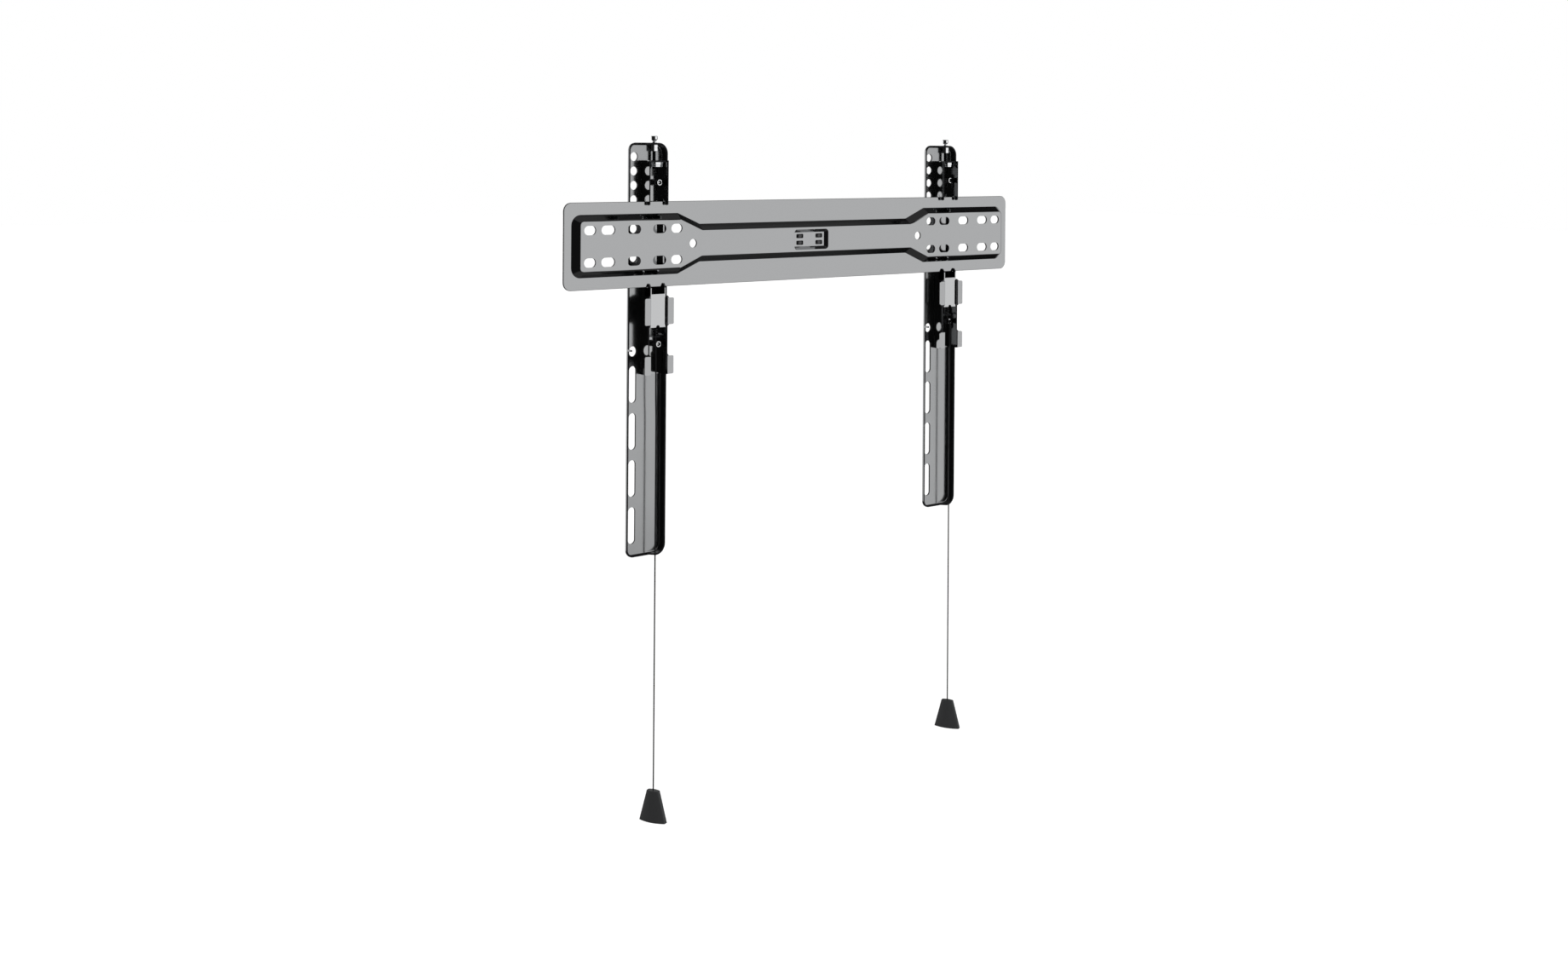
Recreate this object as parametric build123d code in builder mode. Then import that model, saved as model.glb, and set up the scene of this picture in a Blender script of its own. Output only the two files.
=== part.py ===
from build123d import *
from math import atan, cos, degrees, hypot, pi, radians, sin, tan
import os

# Flat-screen wall mount: a stamped wall plate with two hook-on arms.
# Millimetres. +X runs along the plate, +Z is up, the wall is the plane Y = 0 and the screen
# hangs on the -Y side. The origin is the centre of the wall plate, on the wall plane.

os.makedirs("parts", exist_ok=True)

# Wall plate
plate_length = 645.0
plate_height = 91.0
plate_sheet = 2.0
plate_corner_radius = 9.0
plate_edge_break = 0.4
emboss_depth = 7.5
emboss_wall_run = 6.3
emboss_end_margin = 9.0
emboss_edge_margin = 12.8
emboss_corner_radius = 11.0
emboss_bend_radius = 0.5
waist_end_inset = 171.0
waist_height = 41.0
shoulder_run = 29.0
shoulder_radius = 4.0

# Recess in the middle of the wall plate, with openings for the level's clips
recess_length = 50.0
recess_height = 23.0
recess_depth = 4.0
recess_wall_run = 3.5
recess_corner_radius = 4.0
clip_opening_length = 10.0
clip_opening_height = 4.9
clip_opening_radius = 1.2
clip_spacing_x = 28.0
clip_spacing_z = 7.6

# Holes of the wall plate
slot_group_inset = 81.6
slot_near_step = 32.2
slot_far_step = 54.4
slot_row_height = 33.4
slot_width = 9.6
long_slot_length = 16.8
short_slot_length = 14.3
round_hole_inset = 157.5
round_hole_diameter = 9.5

# Spirit level behind the recess
level_length = 52.0
level_height = 17.0
level_depth = 9.0
level_edge_radius = 1.2
clip_leg_length = 5.4
clip_leg_height = 3.2
clip_proud = 0.8
vial_diameter = 7.0
vial_length = 38.0
vial_seat_clearance = 0.15
vial_cover = 4.6
vial_window = 6.0

# Screen arms
column_spacing = 430.0
column_centre_x = 15.0
screen_offset = 20.0
arm_sheet = 2.0
arm_width = 46.0
arm_length = 440.5
arm_top = 108.0
arm_column_inset = 8.0
arm_near_radius = 8.5
arm_far_radius = 11.5
arm_inner_radius = 1.0
arm_plate_gap = 0.7
low_rim_height = 4.2
rim_step_run = 5.0
top_step_offset = 9.0
bottom_step_offset = 26.0

# Holes of the screen arms
screen_hole_diameter = 9.6
screen_hole_count = 8
screen_hole_pitch = 15.3
screen_hole_first = 14.9
short_screen_slot_z = -114.0
short_screen_slot_length = 10.8
screen_slot_width = 9.0
screen_slot_length = 39.0
screen_slot_pitch = 50.0
screen_slot_count = 4
screen_slot_first = 149.1

# Hook carriers
carrier_sheet = 1.6
carrier_width = 24.8
carrier_centre_offset = 21.8
carrier_floor_gap = 0.1
carrier_top = 89.2
carrier_bottom = -139.0
carrier_edge_setback = 2.9
carrier_bend_radius = 1.5
hook_seat_gap = 0.3
hook_finger_drop = 4.0
hook_front_gap = 0.7
hook_seat_run = 3.2
hook_relief_height = 2.6
hook_tip_radius = 1.6
mouth_bottom = -55.0
ear_run = 2.0
upper_ear_top = -57.0
upper_ear_height = 28.5
lower_ear_top = -118.8
lower_ear_height = 19.5
lip_reach = 6.0
lip_radius = 1.5
window_width = 16.0
window_bottom = 72.5
window_radius = 3.0
top_tab_width = 20.0
top_tab_reach = 12.8
shelf_top = -97.5
shelf_width = 9.0
shelf_reach = 11.8
shelf_window_height = 13.0
shelf_window_side_gap = 0.3

# Guide studs that hold the carrier to the arm and let the arm rise and fall
stud_offset = 26.4
upper_stud_z = 65.6
lower_stud_z = -107.0
stud_diameter = 4.0
stud_head_diameter = 7.0
stud_head_height = 2.0
stud_head_edge_radius = 0.7
stud_dimple_diameter = 3.2
stud_dimple_depth = 0.7
stud_reach = 8.2
stud_slot_clearance = 0.15
bush_diameter = 6.0
bush_clearance = 0.2
level_travel_down = 8.0
level_travel_up = 2.0

# Levelling screws
screw_offset = 22.5
screw_depth = 13.7
screw_diameter = 4.0
screw_end_z = 80.5
screw_hole_clearance = 0.2
thread_clearance = 0.05
screw_end_play = 0.1
screw_head_diameter = 7.4
screw_head_height = 3.8
screw_cone_height = 2.2
screw_cone_foot = 4.8
screw_collar_height = 1.1
screw_end_chamfer = 0.5
drive_recess_width = 4.6
drive_recess_depth = 1.8
lock_nut_width = 7.0
lock_nut_height = 3.5
lock_nut_chamfer = 0.3
lift_nut_width = 7.0
lift_nut_height = 3.6
washer_diameter = 8.2
washer_sheet = 1.6

# Spring latches
latch_sheet = 1.8
latch_side_clearance = 0.5
latch_face_setback = 3.0
latch_depth = 10.0
latch_web_top = -53.0
latch_web_bottom = -88.4
latch_bend_radius = 1.2
latch_travel = 5.5
tooth_rise = 3.7
tooth_front_gap = 0.3
tooth_tip_width = 0.9
tooth_ledge_drop = 0.5
tooth_shoulder_drop = 0.9
latch_notch_diameter = 4.8
latch_tab_top = -84.0
latch_tab_width = 14.0
latch_tab_reach = 7.6
cord_depth = 8.0
pin_diameter = 3.0
pin_z = -69.0
pin_depth = 9.0
pin_slot_clearance = 0.2
pin_stop_gap = 0.3
spring_diameter = 5.4
spring_wire = 0.8
spring_turns = 4.0
spring_seat_gap = 0.02

# Pull cords and grips
cord_diameter = 1.5
cord_hole_diameter = 3.0
ferrule_diameter = 4.0
ferrule_height = 5.0
ferrule_chamfer = 0.5
grip_height = 33.0
grip_bottom_width = 31.0
grip_bottom_depth = 12.0
grip_top_width = 13.5
grip_top_depth = 7.5
grip_turn = 26.0
grip_edge_radius = 1.0
grip_bore_depth = 12.0
# Route of each pull cord down from its latch: across from the latch's middle, out, and up
right_cord_route = [
    (0.0, -8.0, -84.0),
    (0.0, -8.0, -166.0),
    (-0.7, -8.4, -186.0),
    (-0.4, -8.2, -594.0),
]
left_cord_route = [
    (0.0, -8.0, -84.0),
    (0.0, -8.0, -190.0),
    (0.4, -7.8, -330.0),
    (0.2, -8.1, -582.0),
]

# Places that follow from the sizes above
slot_group_x = plate_length / 2 - slot_group_inset
round_hole_x = plate_length / 2 - round_hole_inset
plate_front_y = -emboss_depth
plate_back_y = plate_front_y - plate_sheet
plate_top = plate_height / 2
plate_bottom = -plate_height / 2
screen_face_y = -screen_offset
arm_floor_y = screen_face_y + arm_sheet
arm_edge_y = plate_back_y - arm_plate_gap
arm_depth = arm_edge_y - screen_face_y
arm_bottom = arm_top - arm_length
carrier_back_y = arm_floor_y + carrier_floor_gap
carrier_floor_y = carrier_back_y + carrier_sheet
carrier_edge_y = -carrier_edge_setback


def wall_shift(depth, run, sheet):
    """How far the back of a sloped stamped wall steps in so that the sheet keeps its thickness."""
    return sheet * (hypot(depth, run) - run) / depth


emboss_shift = wall_shift(emboss_depth, emboss_wall_run, plate_sheet)
recess_shift = wall_shift(recess_depth, recess_wall_run, plate_sheet)


# Wall plate: one stamped sheet
def field_outline(depth, inset):
    """Foot of the plate's raised field: two wide ends joined by a narrower waist."""
    end_x = plate_length / 2 - emboss_end_margin
    wide_z = plate_height / 2 - emboss_edge_margin
    waist_x = plate_length / 2 - waist_end_inset
    waist_z = waist_height / 2
    quarter = [(end_x, wide_z), (waist_x + shoulder_run, wide_z), (waist_x, waist_z)]
    upper = quarter + [(-x, z) for x, z in reversed(quarter)]
    lower = [(x, -z) for x, z in reversed(upper)]
    with BuildSketch(-Plane.XZ.offset(depth)) as outline:
        with BuildLine():
            Polyline(*upper, *lower, close=True)
        make_face()
        ends = outline.vertices().filter_by(lambda corner: abs(corner.X) > end_x - 1)
        shoulders = outline.vertices().filter_by(lambda corner: abs(corner.X) < end_x - 1)
        fillet(ends, radius=emboss_corner_radius)
        fillet(shoulders, radius=shoulder_radius)
        if inset:
            offset(amount=-inset, mode=Mode.REPLACE)
    return outline.sketch


emboss_taper = degrees(atan(emboss_wall_run / emboss_depth))
recess_taper = degrees(atan(recess_wall_run / recess_depth))

with BuildPart() as wall_plate:
    with BuildSketch(Plane.XZ.offset(emboss_depth)):
        RectangleRounded(plate_length, plate_height, plate_corner_radius)
    extrude(amount=plate_sheet)
    chamfer(wall_plate.edges(), length=plate_edge_break)
    extrude(field_outline(emboss_depth, 0), amount=emboss_depth, taper=emboss_taper)
    raised = wall_plate.faces().sort_by(Axis.Y)[-1]
    fillet(raised.edges(), radius=emboss_bend_radius + plate_sheet)
    extrude(
        field_outline(emboss_depth + plate_sheet, emboss_shift),
        amount=emboss_depth,
        taper=emboss_taper,
        mode=Mode.SUBTRACT,
    )
    with BuildSketch(Plane.XZ.offset(plate_sheet)):
        RectangleRounded(
            recess_length + 2 * recess_shift,
            recess_height + 2 * recess_shift,
            recess_corner_radius + recess_shift,
        )
    extrude(amount=recess_depth, taper=recess_taper)
    with BuildSketch(Plane.XZ):
        RectangleRounded(recess_length, recess_height, recess_corner_radius)
    extrude(amount=recess_depth, taper=recess_taper, mode=Mode.SUBTRACT)
    with BuildSketch(Plane.XZ):
        for side in (-1, 1):
            for step in (-slot_near_step, 0, slot_near_step):
                with Locations((side * (slot_group_x + step), 0)):
                    with GridLocations(0, slot_row_height, 1, 2):
                        SlotOverall(long_slot_length, slot_width)
            for step in (-slot_far_step, slot_far_step):
                with Locations((side * (slot_group_x + step), 0)):
                    with GridLocations(0, slot_row_height, 1, 2):
                        SlotOverall(short_slot_length, slot_width)
            with Locations((side * round_hole_x, 0)):
                Circle(round_hole_diameter / 2)
        with GridLocations(clip_spacing_x, clip_spacing_z, 2, 2):
            RectangleRounded(clip_opening_length, clip_opening_height, clip_opening_radius)
    extrude(amount=emboss_depth + plate_sheet, mode=Mode.SUBTRACT)
wall_plate.part.label = "wall_plate"
export_step(wall_plate.part, "parts/wall_plate.step")

# Spirit level: a moulded holder whose four legs clip through the recess
level_seat = recess_depth + plate_sheet
vial_y = vial_cover - level_seat - level_depth

with BuildPart() as level_holder:
    with BuildSketch(Plane.XZ.offset(level_seat)):
        RectangleRounded(level_length, level_height, level_edge_radius * 2)
    extrude(amount=level_depth)
    fillet(level_holder.faces().sort_by(Axis.Y)[0].edges(), radius=level_edge_radius)
    with BuildSketch(Plane.XZ.offset(level_seat)):
        with GridLocations(clip_spacing_x, clip_spacing_z, 2, 2):
            RectangleRounded(clip_leg_length, clip_leg_height, clip_opening_radius)
    extrude(amount=-(plate_sheet + clip_proud))
    leg_ends = level_holder.faces().filter_by(Axis.Y).group_by(Axis.Y)[-1]
    chamfer(leg_ends.edges(), length=clip_proud / 2)
    with BuildSketch(Plane.YZ.offset(-vial_length / 2 - vial_seat_clearance)):
        with Locations((vial_y, 0)):
            Circle(vial_diameter / 2 + vial_seat_clearance)
        with Locations((vial_y - level_depth / 2, 0)):
            Rectangle(level_depth, vial_window)
    extrude(amount=vial_length + 2 * vial_seat_clearance, mode=Mode.SUBTRACT)
level_holder.part.label = "level_holder"
export_step(level_holder.part, "parts/level_holder.step")

with BuildPart() as level_vial:
    with BuildSketch(Plane.YZ.offset(-vial_length / 2)):
        with Locations((vial_y, 0)):
            Circle(vial_diameter / 2)
    extrude(amount=vial_length)
    fillet(level_vial.edges().filter_by(GeomType.CIRCLE), radius=vial_diameter / 4)
level_vial.part.label = "level_vial"
export_step(level_vial.part, "parts/level_vial.step")


def build_arm_set(side, column_x, cord_route):
    """Every piece of one hook-on arm. column_x is the centre line of its screen holes."""
    near_x = column_x + arm_column_inset
    far_x = near_x - arm_width
    middle_x = column_x - carrier_centre_offset
    carrier_near_x = middle_x + carrier_width / 2
    carrier_far_x = middle_x - carrier_width / 2
    stud_x = column_x - stud_offset
    screw_x = column_x - screw_offset

    # Screen arm: a tray with one deep flange on the side away from its screen holes
    def tray_outline(depth, inset):
        with BuildSketch(Plane.XZ.offset(depth)) as outline:
            with Locations(((near_x + far_x) / 2, (arm_top + arm_bottom) / 2)):
                Rectangle(arm_width, arm_length)
            fillet(outline.vertices().group_by(Axis.X)[-1], radius=arm_near_radius)
            fillet(outline.vertices().group_by(Axis.X)[0], radius=arm_far_radius)
            if inset:
                offset(amount=-inset, mode=Mode.REPLACE)
        return outline.sketch

    def rim_cut(height, step_x):
        """Section that lowers the rims on the near side of a slanted step."""
        low_y = screen_face_y + low_rim_height
        with BuildSketch(Plane.XY.offset(height)) as section:
            with BuildLine():
                Polyline(
                    (near_x + 1, low_y),
                    (step_x + rim_step_run, low_y),
                    (step_x, arm_edge_y),
                    (step_x, arm_edge_y + 1),
                    (near_x + 1, arm_edge_y + 1),
                    close=True,
                )
            make_face()
        return section.sketch

    with BuildPart() as tv_arm:
        extrude(tray_outline(-arm_edge_y, 0), amount=arm_depth)
        screen_face = tv_arm.faces().sort_by(Axis.Y)[0]
        fillet(screen_face.edges(), radius=arm_inner_radius + arm_sheet)
        extrude(
            tray_outline(-arm_edge_y, arm_sheet),
            amount=arm_depth - arm_sheet,
            mode=Mode.SUBTRACT,
        )
        tray_floor = tv_arm.faces().filter_by(Axis.Y).sort_by(Axis.Y)[1]
        fillet(tray_floor.edges(), radius=arm_inner_radius)
        extrude(
            rim_cut(arm_top + 1, column_x - top_step_offset),
            amount=-arm_length / 2,
            mode=Mode.SUBTRACT,
        )
        extrude(
            rim_cut(arm_bottom - 1, column_x - bottom_step_offset),
            amount=arm_length / 2,
            mode=Mode.SUBTRACT,
        )
        with BuildSketch(Plane.XZ.offset(-arm_floor_y)):
            for number in range(screen_hole_count):
                hole_z = arm_top - screen_hole_first - number * screen_hole_pitch
                with Locations((column_x, hole_z)):
                    Circle(screen_hole_diameter / 2)
            with Locations((column_x, short_screen_slot_z)):
                SlotOverall(short_screen_slot_length, screen_hole_diameter, rotation=90)
            for number in range(screen_slot_count):
                with Locations((column_x, -screen_slot_first - number * screen_slot_pitch)):
                    SlotOverall(screen_slot_length, screen_slot_width, rotation=90)
            with Locations((stud_x, upper_stud_z), (stud_x, lower_stud_z)):
                Circle(stud_diameter / 2)
        extrude(amount=arm_sheet, mode=Mode.SUBTRACT)
        with BuildSketch(Plane.XY.offset(arm_top)):
            with Locations((screw_x, -screw_depth)):
                Circle(screw_diameter / 2 + screw_hole_clearance)
        extrude(amount=-arm_sheet, mode=Mode.SUBTRACT)
    tv_arm.part.label = f"{side}_tv_arm"
    export_step(tv_arm.part, f"parts/{side}_tv_arm.step")

    # Guide studs: riveted flush in the arm, each with a sleeve and a dimpled head
    head_foot_y = -stud_reach - stud_head_height
    sleeve_foot_y = carrier_floor_y + bush_clearance
    for place, stud_z in (("upper", upper_stud_z), ("lower", lower_stud_z)):
        with BuildPart() as guide_stud:
            with BuildSketch(Plane.XZ.offset(screen_offset)):
                with Locations((stud_x, stud_z)):
                    Circle(stud_diameter / 2)
            extrude(amount=-(screen_offset - stud_reach))
            with BuildSketch(Plane.XZ.offset(stud_reach)):
                with Locations((stud_x, stud_z)):
                    Circle(stud_head_diameter / 2)
            extrude(amount=stud_head_height)
            head_rim = guide_stud.edges().filter_by(GeomType.CIRCLE).group_by(Axis.Y)[-1]
            fillet(head_rim, radius=stud_head_edge_radius)
            with Locations(Plane(origin=(stud_x, -stud_reach, stud_z), z_dir=(0, 1, 0))):
                Cone(
                    0.2,
                    stud_dimple_diameter / 2,
                    stud_dimple_depth,
                    align=(Align.CENTER, Align.CENTER, Align.MAX),
                    mode=Mode.SUBTRACT,
                )
        guide_stud.part.label = f"{side}_{place}_guide_stud"
        export_step(guide_stud.part, f"parts/{side}_{place}_guide_stud.step")

        with BuildPart() as guide_bush:
            with BuildSketch(Plane.XZ.offset(-head_foot_y)):
                with Locations((stud_x, stud_z)):
                    Circle(bush_diameter / 2)
                    Circle(stud_diameter / 2, mode=Mode.SUBTRACT)
            extrude(amount=head_foot_y - sleeve_foot_y)
        guide_bush.part.label = f"{side}_{place}_guide_bush"
        export_step(guide_bush.part, f"parts/{side}_{place}_guide_bush.step")

    # Hook carrier: a folded channel that hooks over the plate and stands on the wall below it
    upper_ear_bottom = upper_ear_top - upper_ear_height
    lower_ear_bottom = lower_ear_top - lower_ear_height
    finger_y = plate_front_y + hook_front_gap
    seat_z = plate_top + hook_seat_gap
    tip_z = plate_top - hook_finger_drop
    root_y = arm_edge_y
    flange_points = [
        (carrier_back_y, carrier_bottom),
        (carrier_back_y, carrier_top),
        (carrier_edge_y, carrier_top),
        (carrier_edge_y, tip_z),
        (finger_y, tip_z),
        (finger_y, seat_z),
        (finger_y - hook_seat_run + 0.6, seat_z),
        (finger_y - hook_seat_run, seat_z + hook_relief_height),
        (root_y - 0.6, seat_z + hook_relief_height),
        (root_y, seat_z),
        (root_y, mouth_bottom),
        (carrier_edge_y, upper_ear_top + ear_run),
        (0, upper_ear_top),
        (0, upper_ear_bottom),
        (carrier_edge_y, upper_ear_bottom - ear_run),
        (carrier_edge_y, lower_ear_top + ear_run),
        (0, lower_ear_top),
        (0, lower_ear_bottom),
        (carrier_edge_y, carrier_bottom),
    ]

    with BuildPart() as hook_carrier:
        for flange_x in (carrier_far_x, carrier_near_x - carrier_sheet):
            with BuildSketch(Plane.YZ.offset(flange_x)) as flange:
                with BuildLine():
                    Polyline(*flange_points, close=True)
                make_face()
                tip_corners = [
                    flange.vertices().sort_by_distance((carrier_edge_y, tip_z, 0))[0],
                    flange.vertices().sort_by_distance((finger_y, tip_z, 0))[0],
                ]
                fillet(tip_corners, radius=hook_tip_radius)
                with Locations((-pin_depth, pin_z)):
                    Circle(pin_diameter / 2, mode=Mode.SUBTRACT)
            extrude(amount=carrier_sheet)
        with BuildSketch(Plane.XZ.offset(-carrier_floor_y)):
            with Locations((middle_x, (carrier_top + carrier_bottom) / 2)):
                Rectangle(carrier_width, carrier_top - carrier_bottom)
        extrude(amount=carrier_sheet)
        folds = hook_carrier.edges().filter_by(Axis.Z).group_by(Axis.Y)[0]
        fillet(folds, radius=carrier_bend_radius)
        with BuildSketch(Plane.XY.offset(carrier_top)) as top_tab:
            with Locations((middle_x, carrier_floor_y + top_tab_reach / 2)):
                Rectangle(top_tab_width, top_tab_reach)
            fillet(top_tab.vertices().group_by(Axis.Y)[-1], radius=lip_radius)
        extrude(amount=-carrier_sheet)
        with BuildSketch(Plane.XY.offset(shelf_top)) as shelf:
            with Locations((middle_x, carrier_floor_y + shelf_reach / 2)):
                Rectangle(shelf_width, shelf_reach)
            fillet(shelf.vertices().group_by(Axis.Y)[-1], radius=lip_radius)
        extrude(amount=-carrier_sheet)
        ears = ((upper_ear_top, upper_ear_height), (lower_ear_top, lower_ear_height))
        for ear_top, ear_height in ears:
            for edge_x, out in ((carrier_near_x, 1), (carrier_far_x, -1)):
                with BuildSketch(Plane.XZ) as lip:
                    with Locations((edge_x + out * lip_reach / 2, ear_top - ear_height / 2)):
                        Rectangle(lip_reach, ear_height)
                    free_side = -1 if out > 0 else 0
                    fillet(lip.vertices().group_by(Axis.X)[free_side], radius=lip_radius)
                extrude(amount=carrier_sheet)
        window_top = carrier_top - carrier_sheet
        slot_run = level_travel_up + level_travel_down
        slot_bore = stud_diameter + 2 * stud_slot_clearance
        shelf_window_width = shelf_width + 2 * shelf_window_side_gap
        with BuildSketch(Plane.XZ.offset(-carrier_floor_y)):
            with Locations((middle_x, (window_bottom + window_top) / 2)):
                RectangleRounded(window_width, window_top - window_bottom, window_radius)
            for stud_z in (upper_stud_z, lower_stud_z):
                slot_middle = stud_z + (level_travel_up - level_travel_down) / 2
                with Locations((stud_x, slot_middle)):
                    SlotOverall(slot_run + slot_bore, slot_bore, rotation=90)
            with Locations((middle_x, shelf_top + shelf_window_height / 2)):
                Rectangle(shelf_window_width, shelf_window_height)
        extrude(amount=carrier_sheet, mode=Mode.SUBTRACT)
        with BuildSketch(Plane.XY.offset(carrier_top)):
            with Locations((screw_x, -screw_depth)):
                Circle(screw_diameter / 2 + screw_hole_clearance)
        extrude(amount=-carrier_sheet, mode=Mode.SUBTRACT)
        with BuildSketch(Plane.XY.offset(shelf_top)):
            with Locations((middle_x, -cord_depth)):
                Circle(cord_hole_diameter / 2)
        extrude(amount=-carrier_sheet, mode=Mode.SUBTRACT)
    hook_carrier.part.label = f"{side}_hook_carrier"
    export_step(hook_carrier.part, f"parts/{side}_hook_carrier.step")

    # Lifting nut and its washer, fixed under the carrier's top tab
    nut_top = carrier_top - carrier_sheet
    nut_bottom = nut_top - lift_nut_height
    with BuildPart() as lifting_nut:
        with BuildSketch(Plane.XY.offset(nut_bottom)):
            with Locations((screw_x, -screw_depth)):
                RegularPolygon(lift_nut_width / 2, 6, major_radius=False)
                Circle(screw_diameter / 2 + thread_clearance, mode=Mode.SUBTRACT)
        extrude(amount=lift_nut_height)
    lifting_nut.part.label = f"{side}_lifting_nut"
    export_step(lifting_nut.part, f"parts/{side}_lifting_nut.step")

    with BuildPart() as nut_washer:
        with BuildSketch(Plane.XY.offset(nut_bottom)):
            with Locations((screw_x, -screw_depth)):
                Circle(washer_diameter / 2)
                Circle(screw_diameter / 2 + screw_hole_clearance, mode=Mode.SUBTRACT)
        extrude(amount=-washer_sheet)
    nut_washer.part.label = f"{side}_nut_washer"
    export_step(nut_washer.part, f"parts/{side}_nut_washer.step")

    # Levelling screw: turns in the arm's top rim and lifts the arm on the nut
    collar_z = arm_top + screw_end_play
    head_z = collar_z + screw_collar_height + screw_cone_height
    screw_top = head_z + screw_head_height
    lock_nut_top = arm_top - arm_sheet - screw_end_play
    with BuildPart() as levelling_screw:
        with BuildSketch(Plane.XZ.offset(screw_depth)):
            with BuildLine():
                Polyline(
                    (screw_x, screw_end_z),
                    (screw_x + screw_diameter / 2, screw_end_z),
                    (screw_x + screw_diameter / 2, collar_z),
                    (screw_x + screw_cone_foot / 2, collar_z),
                    (screw_x + screw_cone_foot / 2, collar_z + screw_collar_height),
                    (screw_x + screw_head_diameter / 2, head_z),
                    (screw_x + screw_head_diameter / 2, screw_top),
                    (screw_x, screw_top),
                    close=True,
                )
            make_face()
        revolve(axis=Axis((screw_x, -screw_depth, 0), (0, 0, 1)))
        rims = levelling_screw.edges().filter_by(GeomType.CIRCLE).sort_by(Axis.Z)
        chamfer([rims[0], rims[-1]], length=screw_end_chamfer)
        with BuildSketch(Plane.XY.offset(screw_top)):
            with Locations((screw_x, -screw_depth)):
                Rectangle(drive_recess_width, drive_recess_width / 5)
                Rectangle(drive_recess_width / 5, drive_recess_width)
        extrude(amount=-drive_recess_depth, mode=Mode.SUBTRACT)
    levelling_screw.part.label = f"{side}_levelling_screw"
    export_step(levelling_screw.part, f"parts/{side}_levelling_screw.step")

    for place, top_z in (("upper", lock_nut_top), ("lower", lock_nut_top - lock_nut_height)):
        with BuildPart() as lock_nut:
            with BuildSketch(Plane.XY.offset(top_z)):
                with Locations((screw_x, -screw_depth)):
                    RegularPolygon(lock_nut_width / 2, 6, major_radius=False)
            extrude(amount=-lock_nut_height)
            nut_rims = lock_nut.faces().filter_by(Axis.Z).edges()
            chamfer(nut_rims, length=lock_nut_chamfer)
            with BuildSketch(Plane.XY.offset(top_z)):
                with Locations((screw_x, -screw_depth)):
                    Circle(screw_diameter / 2)
            extrude(amount=-lock_nut_height, mode=Mode.SUBTRACT)
        lock_nut.part.label = f"{side}_{place}_lock_nut"
        export_step(lock_nut.part, f"parts/{side}_{place}_lock_nut.step")

    # Spring latch: a folded channel whose two teeth catch the plate's bottom edge
    latch_near_x = carrier_near_x - carrier_sheet - latch_side_clearance
    latch_far_x = carrier_far_x + carrier_sheet + latch_side_clearance
    latch_face_y = -latch_face_setback
    latch_back_y = latch_face_y - latch_depth
    tooth_back_y = plate_front_y + tooth_front_gap
    tooth_tip_z = plate_bottom + tooth_rise
    ledge_z = plate_bottom - tooth_ledge_drop
    cheek_points = [
        (latch_face_y, latch_web_bottom),
        (latch_face_y, plate_bottom - tooth_shoulder_drop),
        (tooth_back_y + tooth_tip_width, tooth_tip_z),
        (tooth_back_y, tooth_tip_z),
        (tooth_back_y, ledge_z),
        (latch_back_y, ledge_z),
        (latch_back_y, latch_web_bottom + latch_depth - latch_sheet),
        (latch_face_y - latch_sheet, latch_web_bottom),
    ]
    pin_slot_bottom = pin_z - pin_diameter / 2 - pin_stop_gap
    pin_slot_top = pin_z + pin_diameter / 2 + pin_stop_gap + latch_travel
    tab_foot = latch_tab_top - latch_sheet
    with BuildPart() as latch:
        for cheek_x in (latch_far_x, latch_near_x - latch_sheet):
            with BuildSketch(Plane.YZ.offset(cheek_x)) as cheek:
                with BuildLine():
                    Polyline(*cheek_points, close=True)
                make_face()
                tip = cheek.vertices().sort_by_distance(
                    (tooth_back_y + tooth_tip_width, tooth_tip_z, 0)
                )[0]
                fillet(tip, radius=tooth_tip_width * 0.7)
                with Locations((-pin_depth, (pin_slot_bottom + pin_slot_top) / 2)):
                    SlotOverall(
                        pin_slot_top - pin_slot_bottom,
                        pin_diameter + 2 * pin_slot_clearance,
                        rotation=90,
                        mode=Mode.SUBTRACT,
                    )
            extrude(amount=latch_sheet)
        with BuildSketch(Plane.XZ.offset(latch_face_setback)):
            with Locations((middle_x, (latch_web_top + latch_web_bottom) / 2)):
                Rectangle(latch_near_x - latch_far_x, latch_web_top - latch_web_bottom)
        extrude(amount=latch_sheet)
        folds = latch.edges().filter_by(Axis.Z).group_by(Axis.Y)[-1]
        web_folds = folds.filter_by(lambda edge: edge.center().Z < latch_web_top)
        fillet(web_folds, radius=latch_bend_radius)
        with BuildSketch(Plane.XZ.offset(latch_face_setback)):
            with Locations((middle_x, latch_web_bottom)):
                Circle(latch_notch_diameter / 2)
        extrude(amount=latch_sheet, mode=Mode.SUBTRACT)
        with BuildSketch(Plane.XY.offset(latch_tab_top)):
            with Locations((middle_x, latch_face_y - latch_sheet - latch_tab_reach / 2)):
                Rectangle(latch_tab_width, latch_tab_reach)
            with Locations((middle_x, -cord_depth)):
                Circle(cord_diameter / 2, mode=Mode.SUBTRACT)
        extrude(amount=-latch_sheet)
    latch.part.label = f"{side}_latch"
    export_step(latch.part, f"parts/{side}_latch.step")

    with BuildPart() as latch_pin:
        with BuildSketch(Plane.YZ.offset(carrier_far_x)):
            with Locations((-pin_depth, pin_z)):
                Circle(pin_diameter / 2)
        extrude(amount=carrier_width)
    latch_pin.part.label = f"{side}_latch_pin"
    export_step(latch_pin.part, f"parts/{side}_latch_pin.step")

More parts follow.
